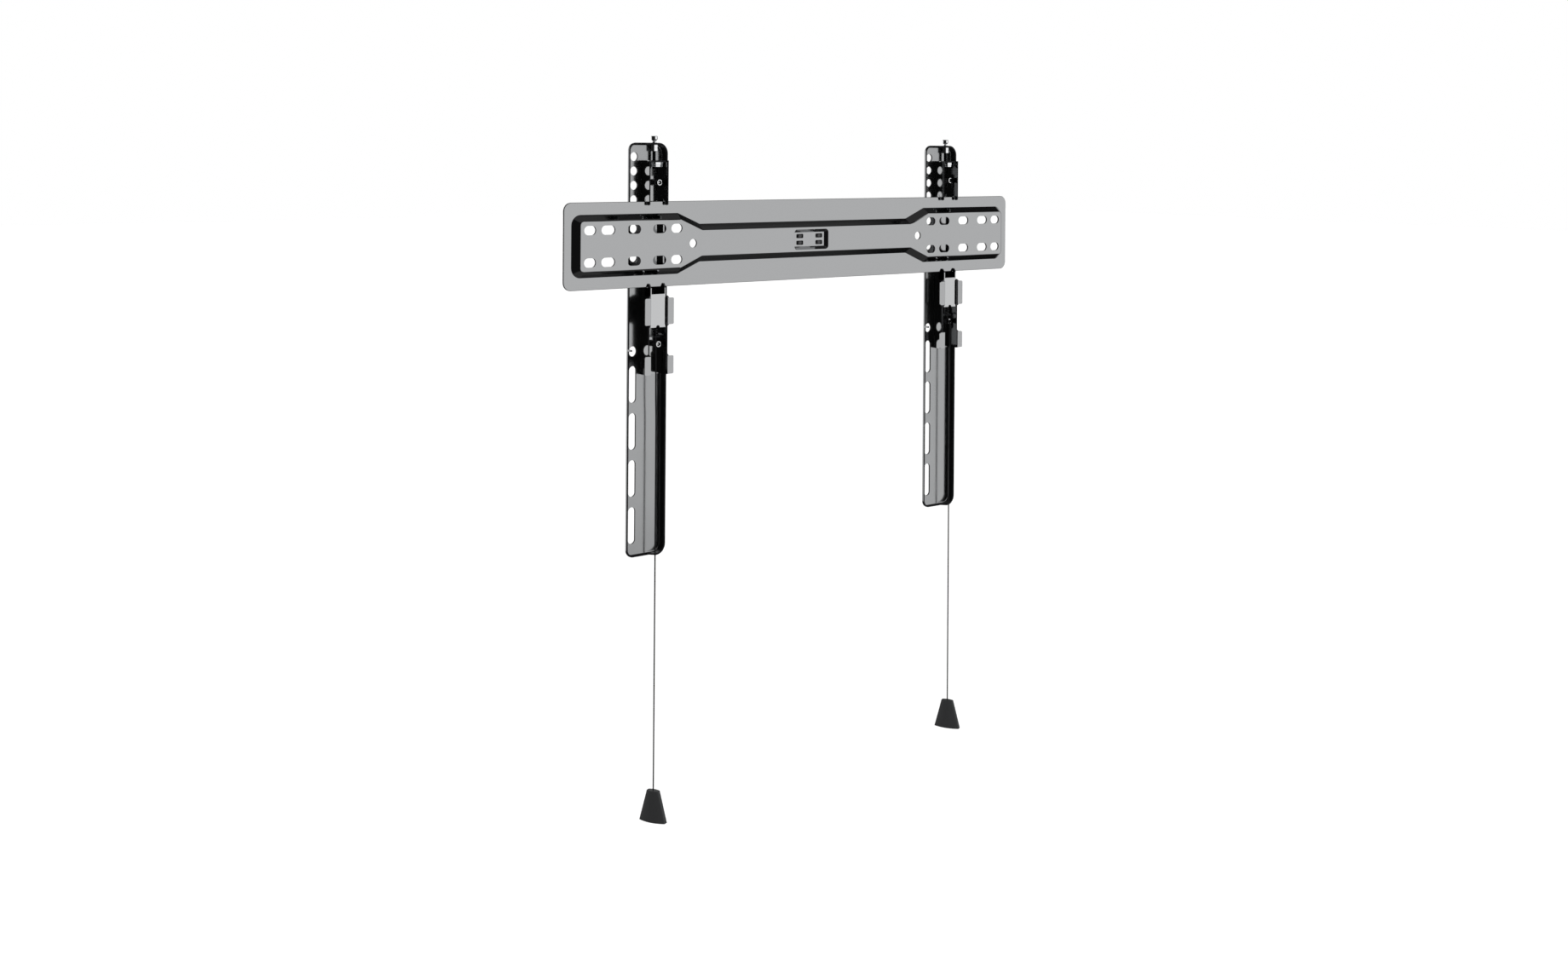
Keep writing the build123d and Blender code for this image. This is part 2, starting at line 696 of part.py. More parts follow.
    # Latch spring: pushes the latch up from the carrier's shelf
    spring_foot = shelf_top + spring_seat_gap + spring_wire / 2
    spring_head = tab_foot - spring_seat_gap - spring_wire / 2
    spring_rise = spring_head - spring_foot
    with BuildPart() as latch_spring:
        with BuildLine() as coil:
            Helix(
                spring_rise / spring_turns,
                spring_rise,
                (spring_diameter - spring_wire) / 2,
                center=(middle_x, -cord_depth, spring_foot),
            )
        with BuildSketch(Plane(coil.line @ 0, z_dir=coil.line % 0)):
            Circle(spring_wire / 2)
        sweep(is_frenet=True)
    latch_spring.part.label = f"{side}_latch_spring"
    export_step(latch_spring.part, f"parts/{side}_latch_spring.step")

    # Cord ferrule: crimped on the cord's end above the latch's tab
    with BuildPart() as cord_ferrule:
        with BuildSketch(Plane.XY.offset(latch_tab_top)):
            with Locations((middle_x, -cord_depth)):
                Circle(ferrule_diameter / 2)
        extrude(amount=ferrule_height)
        chamfer(cord_ferrule.edges().sort_by(Axis.Z)[-1], length=ferrule_chamfer)
    cord_ferrule.part.label = f"{side}_cord_ferrule"
    export_step(cord_ferrule.part, f"parts/{side}_cord_ferrule.step")

    # Pull cord: hangs from the ferrule, pulled almost straight by its grip
    route = [Vector(middle_x + across, out, up) for across, out, up in cord_route]
    radii = []
    for before, corner, after in zip(route, route[1:], route[2:]):
        half_turn = (corner - before).get_angle(after - corner) / 2
        shorter = min((corner - before).length, (after - corner).length)
        radii.append(0.45 * shorter / tan(radians(half_turn)))
    with BuildPart() as pull_cord:
        with BuildLine() as path:
            FilletPolyline(*route, radius=radii)
        with BuildSketch(Plane(path.line @ 0, z_dir=path.line % 0)):
            Circle(cord_diameter / 2)
        sweep()
    pull_cord.part.label = f"{side}_pull_cord"
    export_step(pull_cord.part, f"parts/{side}_pull_cord.step")
    cord_length = path.wires()[0].length
    cord_section = pi * (cord_diameter / 2) ** 2
    print(side, "cord length", round(cord_length, 1), "bend radii", [round(r) for r in radii])
    print(side, "cord volume ratio", round(pull_cord.part.volume / (cord_section * cord_length), 4))

    # Pull grip: a flattened tab, wider and thicker towards its foot
    cord_end = route[-1]
    grip_top_z = cord_end.Z + grip_bore_depth
    grip_foot_z = grip_top_z - grip_height
    broad_way = Vector(cos(radians(90 + grip_turn)), sin(radians(90 + grip_turn)), 0)
    with BuildPart() as pull_grip:
        for up, width, depth in (
            (grip_foot_z, grip_bottom_width, grip_bottom_depth),
            (grip_top_z, grip_top_width, grip_top_depth),
        ):
            section = Plane(origin=(cord_end.X, cord_end.Y, up), x_dir=broad_way, z_dir=(0, 0, 1))
            with BuildSketch(section):
                SlotOverall(width, depth)
        loft(ruled=True)
        fillet(pull_grip.faces().filter_by(Axis.Z).edges(), radius=grip_edge_radius)
        with BuildSketch(Plane(cord_end, z_dir=route[-2] - cord_end)):
            Circle(cord_diameter / 2)
        extrude(amount=grip_bore_depth + 1, mode=Mode.SUBTRACT)
    pull_grip.part.label = f"{side}_pull_grip"
    export_step(pull_grip.part, f"parts/{side}_pull_grip.step")


build_arm_set("right", column_centre_x + column_spacing / 2, right_cord_route)
build_arm_set("left", column_centre_x - column_spacing / 2, left_cord_route)
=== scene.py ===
# %% [markdown]
# A flat-screen wall mount, dressed for its portrait
# The frame below is the finished engineering model: a stamped wall plate, two hook-on arms, and
# the screws, studs, latches and cords that belong to them. Its sizes and places never change
# here. This lesson adds what the eye wants: finishes, screw threads, sprung wire, braided cord,
# a camera and a small photo studio.

# %% Load the frame
from math import atan2, cos, degrees, hypot, radians, sin

import bpy
from mathutils import Matrix, Vector


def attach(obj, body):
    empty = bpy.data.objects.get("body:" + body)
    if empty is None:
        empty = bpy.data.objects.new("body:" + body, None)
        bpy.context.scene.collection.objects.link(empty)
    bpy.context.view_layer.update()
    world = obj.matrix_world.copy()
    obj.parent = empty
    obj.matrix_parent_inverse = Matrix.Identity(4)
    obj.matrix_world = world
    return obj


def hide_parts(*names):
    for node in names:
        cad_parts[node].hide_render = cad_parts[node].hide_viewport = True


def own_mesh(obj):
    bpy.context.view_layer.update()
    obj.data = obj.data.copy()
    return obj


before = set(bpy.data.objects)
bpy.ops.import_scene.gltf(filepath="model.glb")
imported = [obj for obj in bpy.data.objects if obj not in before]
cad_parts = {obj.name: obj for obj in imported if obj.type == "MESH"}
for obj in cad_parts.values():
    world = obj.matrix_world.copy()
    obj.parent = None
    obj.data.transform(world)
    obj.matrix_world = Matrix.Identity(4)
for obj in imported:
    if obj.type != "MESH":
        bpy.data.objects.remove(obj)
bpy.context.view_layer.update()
MM = 0.001
SIDES = ("right", "left")
COLUMN_X = {"right": 230.0 * MM, "left": -200.0 * MM}
CORD_OFFSET = 21.8 * MM

# %% [markdown]
# The camera
# The photograph looks at the wall side from one end, with the lens level and near the height of
# the screws. Its eye level lies far above the middle of the picture while every upright stays
# upright, so the lens is shifted down instead of being tilted.

# %% Camera
PHOTO_WIDTH = 1840
FOCAL_PIXELS = 2001.1
EYE_LEVEL_PIXELS = 386.35
camera_data = bpy.data.cameras.new("photo_camera")
camera_data.sensor_fit = "HORIZONTAL"
camera_data.sensor_width = 36.0
camera_data.lens = camera_data.sensor_width * FOCAL_PIXELS / PHOTO_WIDTH
camera_data.shift_y = -EYE_LEVEL_PIXELS / PHOTO_WIDTH
camera = bpy.data.objects.new("photo_camera", camera_data)
bpy.context.scene.collection.objects.link(camera)
camera.matrix_world = (
    Matrix.Translation((1.2338, 1.4980, 0.0998))
    @ Matrix.Rotation(radians(141.47), 4, "Z")
    @ Matrix.Rotation(radians(90), 4, "X")
    @ Matrix.Rotation(radians(0.41), 4, "Z")
)
bpy.context.scene.camera = camera
print("lens", round(camera_data.lens, 2), "mm")

# %% [markdown]
# Shaping tools
# Turned pieces such as screws start as a line of points beside an axis. A Screw modifier sweeps
# the line round, and with a rise at each turn the same tool cuts a thread. Folded or moulded
# pieces start as a box with a few cuts, whose slices are then scaled one by one.

# %% Shaping tools
def finish_piece(piece, name, node, body):
    """Name a new piece, hand it to its body and let it stand for its engineering node."""
    piece.name = name
    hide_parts(node)
    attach(piece, body)
    return piece


def turned(points, centre, rise=0.0, turns=1, laid_down=False):
    """A line of (radius, height) points swept round an upright axis, or one out of the wall."""
    line = bpy.data.curves.new("turned_line", "CURVE")
    line.dimensions = "3D"
    spline = line.splines.new("POLY")
    spline.points.add(len(points) - 1)
    for point, (radius, height) in zip(spline.points, points):
        point.co = (radius, 0.0, height, 1.0)
    piece = bpy.data.objects.new("turned_piece", line)
    bpy.context.scene.collection.objects.link(piece)
    sweep = piece.modifiers.new("sweep", "SCREW")
    sweep.screw_offset = rise
    sweep.iterations = turns
    sweep.steps = 40
    sweep.render_steps = 40
    sweep.use_normal_calculate = True
    bpy.ops.object.select_all(action="DESELECT")
    piece.select_set(True)
    bpy.context.view_layer.objects.active = piece
    bpy.ops.object.convert(target="MESH")
    piece = bpy.context.object
    bpy.ops.object.mode_set(mode="EDIT")
    bpy.ops.mesh.select_all(action="SELECT")
    bpy.ops.mesh.remove_doubles(threshold=0.01 * MM)
    bpy.ops.mesh.normals_make_consistent(inside=False)
    if laid_down:
        bpy.ops.transform.rotate(
            value=radians(90), orient_axis="X", center_override=(0.0, 0.0, 0.0)
        )
    bpy.ops.transform.translate(value=centre)
    bpy.ops.object.mode_set(mode="OBJECT")
    bpy.ops.object.shade_smooth_by_angle(angle=radians(35))
    return piece


def soften(piece, width, segments=2):
    """Round every sharp edge of a piece a little."""
    bevel = piece.modifiers.new("soft_edges", "BEVEL")
    bevel.width = width
    bevel.segments = segments
    bevel.limit_method = "ANGLE"
    bevel.angle_limit = radians(40)
    bpy.ops.object.select_all(action="DESELECT")
    piece.select_set(True)
    bpy.context.view_layer.objects.active = piece
    bpy.ops.object.modifier_apply(modifier="soft_edges")
    bpy.ops.object.shade_smooth_by_angle(angle=radians(35))


def block(low, high):
    """A plain box between two corners, shaped in edit mode so that its object stays at rest."""
    low, high = Vector(low), Vector(high)
    bpy.ops.object.select_all(action="DESELECT")
    bpy.ops.mesh.primitive_cube_add(size=1.0)
    piece = bpy.context.object
    bpy.ops.object.mode_set(mode="EDIT")
    bpy.ops.transform.resize(value=high - low, center_override=(0.0, 0.0, 0.0))
    bpy.ops.transform.translate(value=(low + high) / 2)
    bpy.ops.object.mode_set(mode="OBJECT")
    return piece


# %% [markdown]
# The pull grips
# A grip is a moulded tab that widens to its foot. Seen from above its two broad faces are arcs
# and its ends are flat, so it is thickest in the middle.

# %% Pull grips
GRIP_HEIGHT = 33.0 * MM
GRIP_ABOVE_CORD_END = 12.0 * MM
GRIP_WIDTHS = {"foot": 31.5 * MM, "top": 14.0 * MM}
GRIP_DEPTHS = {"foot": 12.0 * MM, "top": 7.5 * MM}
GRIP_END_DEPTHS = {"foot": 5.0 * MM, "top": 4.0 * MM}
GRIP_TURN = 26.0
GRIP_EDGE = 0.6 * MM
GRIP_CUTS = 9


def make_grip(foot):
    """A tapered tab of lens-shaped section with its foot's centre at the given point."""
    bpy.ops.object.select_all(action="DESELECT")
    bpy.ops.mesh.primitive_cube_add(size=2.0)
    grip = bpy.context.object
    bpy.ops.object.mode_set(mode="EDIT")
    bpy.ops.mesh.select_all(action="SELECT")
    bpy.ops.mesh.subdivide(number_cuts=GRIP_CUTS)
    bpy.ops.object.mode_set(mode="OBJECT")
    for vertex in grip.data.vertices:
        across, out, up = vertex.co
        share = (up + 1) / 2
        width = GRIP_WIDTHS["foot"] + (GRIP_WIDTHS["top"] - GRIP_WIDTHS["foot"]) * share
        depth = GRIP_DEPTHS["foot"] + (GRIP_DEPTHS["top"] - GRIP_DEPTHS["foot"]) * share
        end = GRIP_END_DEPTHS["foot"] + (GRIP_END_DEPTHS["top"] - GRIP_END_DEPTHS["foot"]) * share
        bow = end + (depth - end) * (1 - across * across)
        vertex.co = (across * width / 2, out * bow / 2, share * GRIP_HEIGHT)
    bpy.ops.object.mode_set(mode="EDIT")
    bpy.ops.mesh.select_all(action="SELECT")
    bpy.ops.transform.rotate(
        value=-radians(90 + GRIP_TURN), orient_axis="Z", center_override=(0.0, 0.0, 0.0)
    )
    bpy.ops.transform.translate(value=foot)
    bpy.ops.object.mode_set(mode="OBJECT")
    soften(grip, GRIP_EDGE, 3)
    return grip


# %% [markdown]
# The pull cords
# Each latch is opened by a cord that hangs from a small ferrule and is kept straight by its
# grip. A cord is best drawn as a curve with a round bevel: its few control points can be moved
# by hand, and the spline between them has no corners, like the real braid.

# %% Pull cords
CORD_DIAMETER = 1.5 * MM
CORD_EXIT = (0.0, -8.0, -84.0)
CORD_ROUTES = {
    "right": [
        CORD_EXIT,
        (-0.5, -7.5, -110.0),
        (-0.7, -7.3, -146.0),
        (-0.7, -7.3, -166.0),
        (-1.4, -7.4, -186.0),
        (-1.4, -7.4, -206.0),
        (-1.2, -7.3, -594.0),
    ],
    "left": [
        CORD_EXIT,
        (0.0, -7.9, -93.5),
        (0.0, -7.6, -102.0),
        (-4.3, -6.9, -110.0),
        (-4.3, -6.9, -120.0),
        (-4.1, -7.1, -330.0),
        (-4.6, -7.2, -582.0),
    ],
}
cords = {}
grips = {}
for side in SIDES:
    across, out, up = CORD_ROUTES[side][-1]
    middle_x = COLUMN_X[side] - CORD_OFFSET
    grip_foot = (
        middle_x + across * MM,
        out * MM,
        up * MM + GRIP_ABOVE_CORD_END - GRIP_HEIGHT,
    )
    grips[side] = finish_piece(
        make_grip(grip_foot), f"{side}_grip", f"{side}_pull_grip", f"{side}_latch"
    )
    line = bpy.data.curves.new(f"{side}_cord_line", "CURVE")
    line.dimensions = "3D"
    line.bevel_depth = CORD_DIAMETER / 2
    line.bevel_resolution = 3
    line.resolution_u = 24
    line.use_fill_caps = True
    spline = line.splines.new("NURBS")
    spline.points.add(len(CORD_ROUTES[side]) - 1)
    for point, (across, out, up) in zip(spline.points, CORD_ROUTES[side]):
        point.co = (middle_x + across * MM, out * MM, up * MM, 1.0)
    spline.order_u = 3
    spline.use_endpoint_u = True
    cords[side] = bpy.data.objects.new(f"{side}_cord", line)
    bpy.context.scene.collection.objects.link(cords[side])
    finish_piece(
        cords[side], f"{side}_cord", f"{side}_pull_cord", f"{side}_latch"
    )
print("cords", len(cords))

# %% [markdown]
# The levelling screws
# A screw is two turned pieces: the plain body with its neck and cone-shaped head, and a thread
# whose tooth is swept up round the shank, one rise for each turn. The head gets its cross with a
# Boolean.

# %% Levelling screws
SCREW_OFFSET = 22.5 * MM
SCREW_DEPTH = 13.7 * MM
SCREW_FOOT = 80.5 * MM
COLLAR_Z = 108.1 * MM
SCREW_TOP = 115.2 * MM
CORE_RADIUS = 1.65 * MM
CREST_RADIUS = 2.0 * MM
THREAD_PITCH = 0.8 * MM
CROSS_LENGTH = 4.6 * MM
CROSS_WIDTH = 0.9 * MM
CROSS_DEPTH = 1.8 * MM
END_CHAMFER = 0.3 * MM
COLLAR_RADIUS = 2.5 * MM
COLLAR_HEIGHT = 0.6 * MM
NECK_RADIUS = 1.3 * MM
NECK_RISE = 1.4 * MM
CONE_RADIUS = 3.5 * MM
CONE_RISE = 3.2 * MM
SCREW_HEAD_RADIUS = 3.7 * MM
SCREW_HEAD_RISE = 3.5 * MM
SCREW_HEAD_CHAMFER = 0.5 * MM
THREAD_ROOT_OVERLAP = 0.1 * MM


def make_screw(centre):
    """Shank, collar, narrow neck and cone head, with a cross in its top and a real thread."""
    body = turned(
        [
            (0.0, SCREW_FOOT),
            (CORE_RADIUS - END_CHAMFER, SCREW_FOOT),
            (CORE_RADIUS, SCREW_FOOT + END_CHAMFER),
            (CORE_RADIUS, COLLAR_Z),
            (COLLAR_RADIUS, COLLAR_Z),
            (COLLAR_RADIUS, COLLAR_Z + COLLAR_HEIGHT),
            (NECK_RADIUS, COLLAR_Z + NECK_RISE),
            (CONE_RADIUS, COLLAR_Z + CONE_RISE),
            (SCREW_HEAD_RADIUS, COLLAR_Z + SCREW_HEAD_RISE),
            (SCREW_HEAD_RADIUS, SCREW_TOP - SCREW_HEAD_CHAMFER),
            (SCREW_HEAD_RADIUS - SCREW_HEAD_CHAMFER, SCREW_TOP),
            (0.0, SCREW_TOP),
        ],
        centre,
    )
    for long_x, long_y in ((CROSS_LENGTH, CROSS_WIDTH), (CROSS_WIDTH, CROSS_LENGTH)):
        cutter = block(
            (centre[0] - long_x / 2, centre[1] - long_y / 2, SCREW_TOP - CROSS_DEPTH),
            (centre[0] + long_x / 2, centre[1] + long_y / 2, SCREW_TOP + CROSS_DEPTH),
        )
        cut = body.modifiers.new("cross", "BOOLEAN")
        cut.operation = "DIFFERENCE"
        cut.object = cutter
        bpy.ops.object.select_all(action="DESELECT")
        body.select_set(True)
        bpy.context.view_layer.objects.active = body
        bpy.ops.object.modifier_apply(modifier="cross")
        bpy.data.objects.remove(cutter)
    turns = int((COLLAR_Z - SCREW_FOOT) / THREAD_PITCH) - 1
    thread = turned(
        [
            (CORE_RADIUS - THREAD_ROOT_OVERLAP, SCREW_FOOT),
            (CREST_RADIUS, SCREW_FOOT + 0.5 * THREAD_PITCH),
            (CORE_RADIUS - THREAD_ROOT_OVERLAP, SCREW_FOOT + THREAD_PITCH),
        ],
        centre,
        THREAD_PITCH,
        turns,
    )
    bpy.ops.object.select_all(action="DESELECT")
    thread.select_set(True)
    body.select_set(True)
    bpy.context.view_layer.objects.active = body
    bpy.ops.object.join()
    return body


screws = []
for side in SIDES:
    screw = make_screw((COLUMN_X[side] - SCREW_OFFSET, -SCREW_DEPTH, 0.0))
    node = f"{side}_levelling_screw"
    screws.append(finish_piece(screw, f"{side}_turned_screw", node, f"{side}_screw"))
print("screws", [len(screw.data.polygons) for screw in screws])

# %% [markdown]
# The lifting nuts
# Under each carrier's top tab sits a block-shaped nut that reaches towards the wall, with a
# thinner plate below it.

# %% Lifting nuts
NUT_TOP = 87.6 * MM
NUT_HEIGHT = 3.4 * MM
NUT_PLATE_HEIGHT = 2.0 * MM
NUT_WIDTH = 6.6 * MM
NUT_FRONT = 8.0 * MM
NUT_BACK = 2.2 * MM
NUT_PLATE_INSET = 0.3 * MM
NUT_EDGE = 0.3 * MM
nuts = []
for side in SIDES:
    nut_x = COLUMN_X[side] - SCREW_OFFSET
    for node, inset, top, height in (
        ("lifting_nut", 0.0, NUT_TOP, NUT_HEIGHT),
        ("nut_washer", NUT_PLATE_INSET, NUT_TOP - NUT_HEIGHT, NUT_PLATE_HEIGHT),
    ):
        half_width = NUT_WIDTH / 2 - inset
        nut = block(
            (nut_x - half_width, -SCREW_DEPTH - NUT_BACK + inset, top - height),
            (nut_x + half_width, -SCREW_DEPTH + NUT_FRONT - inset, top),
        )
        soften(nut, NUT_EDGE)
        finish_piece(
            nut, f"{side}_{node}_block", f"{side}_{node}", f"{side}_carrier"
        )
        nuts.append(nut)
print("nut pieces", len(nuts))

# %% [markdown]
# The guide studs
# Two headed studs hold each arm to its carrier. They are turned pieces too, laid down so that
# their axis points to the wall, and each head has a deep round dimple.

# %% Guide studs
STUD_OFFSET = 26.4 * MM
STUD_HEIGHTS = {"upper": 65.6 * MM, "lower": -107.0 * MM}
STUD_RADIUS = 2.0 * MM
HEAD_RADIUS = 3.5 * MM
HEAD_TOP = -8.2 * MM
HEAD_HEIGHT = 2.0 * MM
HEAD_ROUNDING = 0.5 * MM
DIMPLE_RADIUS = 2.3 * MM
DIMPLE_FLOOR_RADIUS = 0.7 * MM
DIMPLE_DEPTH = 1.45 * MM
STUD_FOOT = -20.0 * MM
studs = []
for side in SIDES:
    for place, stud_z in STUD_HEIGHTS.items():
        stud = turned(
            [
                (0.0, STUD_FOOT),
                (STUD_RADIUS, STUD_FOOT),
                (STUD_RADIUS, HEAD_TOP - HEAD_HEIGHT),
                (HEAD_RADIUS, HEAD_TOP - HEAD_HEIGHT),
                (HEAD_RADIUS, HEAD_TOP - HEAD_ROUNDING),
                (HEAD_RADIUS - HEAD_ROUNDING, HEAD_TOP),
                (DIMPLE_RADIUS, HEAD_TOP),
                (DIMPLE_FLOOR_RADIUS, HEAD_TOP - DIMPLE_DEPTH),
                (0.0, HEAD_TOP - DIMPLE_DEPTH),
            ],
            (COLUMN_X[side] - STUD_OFFSET, 0.0, stud_z),
            laid_down=True,
        )
        node = f"{side}_{place}_guide_stud"
        finish_piece(stud, f"{side}_{place}_turned_stud", node, f"{side}_arm")
        studs.append(stud)
print("studs", len(studs))

# %% [markdown]
# The latch springs
# A spring is the thread's trick again: a small round section swept up with a rise at each turn.
# It stands on the carrier's shelf and is pressed flat when the cord pulls its latch down.

# %% Latch springs
SHELF_TOP = -97.5 * MM
TAB_FOOT = -85.8 * MM
WIRE_RADIUS = 0.4 * MM
COIL_RADIUS = 2.3 * MM
COIL_TURNS = 4
WIRE_SIDES = 12
CORD_DEPTH = 8.0 * MM
spring_height = TAB_FOOT - SHELF_TOP
springs = []
for side in SIDES:
    section = [
        (
            COIL_RADIUS + WIRE_RADIUS * cos(radians(360 * number / WIRE_SIDES)),
            SHELF_TOP + WIRE_RADIUS + WIRE_RADIUS * sin(radians(360 * number / WIRE_SIDES)),
        )
        for number in range(WIRE_SIDES + 1)
    ]
    coil_centre = (COLUMN_X[side] - CORD_OFFSET, -CORD_DEPTH, 0.0)
    rise = (spring_height - 2 * WIRE_RADIUS) / COIL_TURNS
    spring = turned(section, coil_centre, rise, COIL_TURNS)
    node = f"{side}_latch_spring"
    finish_piece(spring, f"{side}_coil_spring", node, f"{side}_carrier")
    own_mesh(spring)
    springs.append(spring)
print("springs", len(springs))

# %% [markdown]
# Finishes
# Nearly everything here is sheet steel with a dark, polished lacquer. Such a finish shows the
# room more than its own colour, so it is a metal with a dark base, a little grain in its
# roughness and a very faint orange-peel bump. Each finish is a small function that makes one
# material from nodes and hands it back.

# %% Material helpers
def new_material(name, color, metallic, roughness):
    """A material with its constants on the shader's own sockets."""
    material = bpy.data.materials.new(name)
    material.use_nodes = True
    shader = material.node_tree.nodes["Principled BSDF"]
    shader.inputs["Base Color"].default_value = (*color, 1.0)
    shader.inputs["Metallic"].default_value = metallic
    shader.inputs["Roughness"].default_value = roughness
    return material, material.node_tree.nodes, material.node_tree.links, shader


def noise_on_object(nodes, links, scale, detail=3.0, stretch=(1.0, 1.0, 1.0)):
    """Noise fixed to the piece, with an optional stretch along its axes."""
    place = nodes.new("ShaderNodeTexCoord")
    mapping = nodes.new("ShaderNodeMapping")
    mapping.inputs["Scale"].default_value = stretch
    noise = nodes.new("ShaderNodeTexNoise")
    noise.inputs["Scale"].default_value = scale
    noise.inputs["Detail"].default_value = detail
    links.new(place.outputs["Object"], mapping.inputs["Vector"])
    links.new(mapping.outputs["Vector"], noise.inputs["Vector"])
    return noise.outputs["Fac"]


def spread(nodes, links, source, low, high):
    """Stretch a noise around its middle into the range low to high."""
    ramp = nodes.new("ShaderNodeMapRange")
    ramp.inputs["From Min"].default_value = 0.3
    ramp.inputs["From Max"].default_value = 0.7
    ramp.inputs["To Min"].default_value = low
    ramp.inputs["To Max"].default_value = high
    links.new(source, ramp.inputs["Value"])
    return ramp.outputs["Result"]


def add_bump(nodes, links, shader, height, distance, strength=0.3):
    bump = nodes.new("ShaderNodeBump")
    bump.inputs["Strength"].default_value = strength
    bump.inputs["Distance"].default_value = distance
    links.new(height, bump.inputs["Height"])
    links.new(bump.outputs["Normal"], shader.inputs["Normal"])


# %% [markdown]
# Lacquered steel
# Sheet steel is lacquered on its faces. Its cut edges, hole walls and thin rims get painted
# shade:
# black where they fall dark. A mask finds them by the way a surface faces and by how far it
# stands from the wall.

# %% Lacquered steel
def compare(nodes, links, source, operation, value):
    """One number test on a value: 1 where it holds."""
    test = nodes.new("ShaderNodeMath")
    test.operation = operation
    test.inputs[1].default_value = value
    links.new(source, test.inputs[0])
    return test.outputs["Value"]


def combine(nodes, links, operation, first, second):
    """Two tests put together: MULTIPLY for both, MAXIMUM for either."""
    both = nodes.new("ShaderNodeMath")
    both.operation = operation
    links.new(first, both.inputs[0])
    links.new(second, both.inputs[1])
    return both.outputs["Value"]


def painted_shade_edges(nodes, links, floor_y=None, rim_y=None, rim_end_y=1.0):
    """1 where painted shade goes on the sheet's edges: hole walls below floor_y, flat rims above
    rim_y.
    """
    shape = nodes.new("ShaderNodeNewGeometry")
    facing = nodes.new("ShaderNodeSeparateXYZ")
    links.new(shape.outputs["Normal"], facing.inputs["Vector"])
    out = facing.outputs["Y"]
    place = nodes.new("ShaderNodeTexCoord")
    where = nodes.new("ShaderNodeSeparateXYZ")
    links.new(place.outputs["Object"], where.inputs["Vector"])
    height = where.outputs["Y"]
    level = compare(nodes, links, out, "LESS_THAN", 0.35)
    upright = compare(nodes, links, out, "GREATER_THAN", -0.35)
    mask = combine(nodes, links, "MULTIPLY", level, upright)
    if floor_y is not None:
        low = compare(nodes, links, height, "LESS_THAN", floor_y)
        mask = combine(nodes, links, "MULTIPLY", mask, low)
    if rim_y is not None:
        flat = compare(nodes, links, out, "GREATER_THAN", 0.9)
        above = compare(nodes, links, height, "GREATER_THAN", rim_y)
        below = compare(nodes, links, height, "LESS_THAN", rim_end_y)
        rims = combine(nodes, links, "MULTIPLY", flat, above)
        rims = combine(nodes, links, "MULTIPLY", rims, below)
        mask = combine(nodes, links, "MAXIMUM", mask, rims)
    return mask


def make_lacquer(name, color, low_roughness, high_roughness, edges=None):
    """Dark lacquer on polished sheet steel: clouded gloss, a trace of orange peel, and painted
    shade on the edges when a mask is given.
    """
    material, nodes, links, shader = new_material(name, color, 1.0, low_roughness)
    clouds = noise_on_object(nodes, links, 30.0)
    clouded = spread(nodes, links, clouds, low_roughness, high_roughness)
    links.new(clouded, shader.inputs["Roughness"])
    peel = noise_on_object(nodes, links, 900.0, 1.0)
    add_bump(nodes, links, shader, peel, 0.00001, 0.05)
    if edges is not None:
        # Painted shade: the masked edges are coloured black instead of the lacquer.
        paint = nodes.new("ShaderNodeMix")
        paint.data_type = "RGBA"
        links.new(painted_shade_edges(nodes, links, **edges), paint.inputs["Factor"])
        paint.inputs["A"].default_value = (*color, 1.0)
        paint.inputs["B"].default_value = (*SHADE_AND_STEEL_BLACK, 1.0)
        links.new(paint.outputs["Result"], shader.inputs["Base Color"])
    return material


# Black for the painted shade on lacquered edges, and the colour of the blackened steel.
SHADE_AND_STEEL_BLACK = (0.012, 0.012, 0.013)
GREY_LACQUER = (0.40, 0.405, 0.41)
ARM_LACQUER = (0.35, 0.355, 0.36)
LATCH_LACQUER = (0.53, 0.535, 0.54)
ARM_FLOOR_Y = -18.0 * MM
# The plate, arm and carrier lacquers carry painted shade on their edges; the latch lacquer has
# none.
plate_lacquer = make_lacquer("plate_lacquer", GREY_LACQUER, 0.07, 0.10, {})
arm_lacquer = make_lacquer(
    "arm_lacquer",
    ARM_LACQUER,
    0.15,
    0.20,
    {"floor_y": ARM_FLOOR_Y - 0.05 * MM, "rim_y": ARM_FLOOR_Y + 0.5 * MM},
)
carrier_lacquer = make_lacquer(
    "carrier_lacquer",
    GREY_LACQUER,
    0.08,
    0.12,
    {"floor_y": -17.0 * MM, "rim_y": -5.0 * MM, "rim_end_y": -2.0 * MM},
)
latch_lacquer = make_lacquer("latch_lacquer", LATCH_LACQUER, 0.09, 0.13, {})


# %% [markdown]
# Bare steel
# Zinc and spring wire have no lacquer. Fine marks in the roughness show how they were made.

# %% Plain metals
def make_steel(name, color, roughness, grain):
    """Bare or plated steel with turning marks around its axis."""
    material, nodes, links, shader = new_material(name, color, 1.0, roughness)
    marks = noise_on_object(nodes, links, grain, 2.0, (1.0, 1.0, 6.0))
    marked = spread(nodes, links, marks, roughness * 0.8, roughness * 1.3)
    links.new(marked, shader.inputs["Roughness"])
    add_bump(nodes, links, shader, marks, 0.00002, 0.15)
    return material


# Zinc colour; on the studs it is also the painted highlight.
ZINC_AND_HIGHLIGHT = (0.86, 0.87, 0.88)
zinc = make_steel("bright_zinc", ZINC_AND_HIGHLIGHT, 0.10, 300.0)
spring_wire = make_steel("spring_wire", (0.10, 0.10, 0.105), 0.22, 500.0)
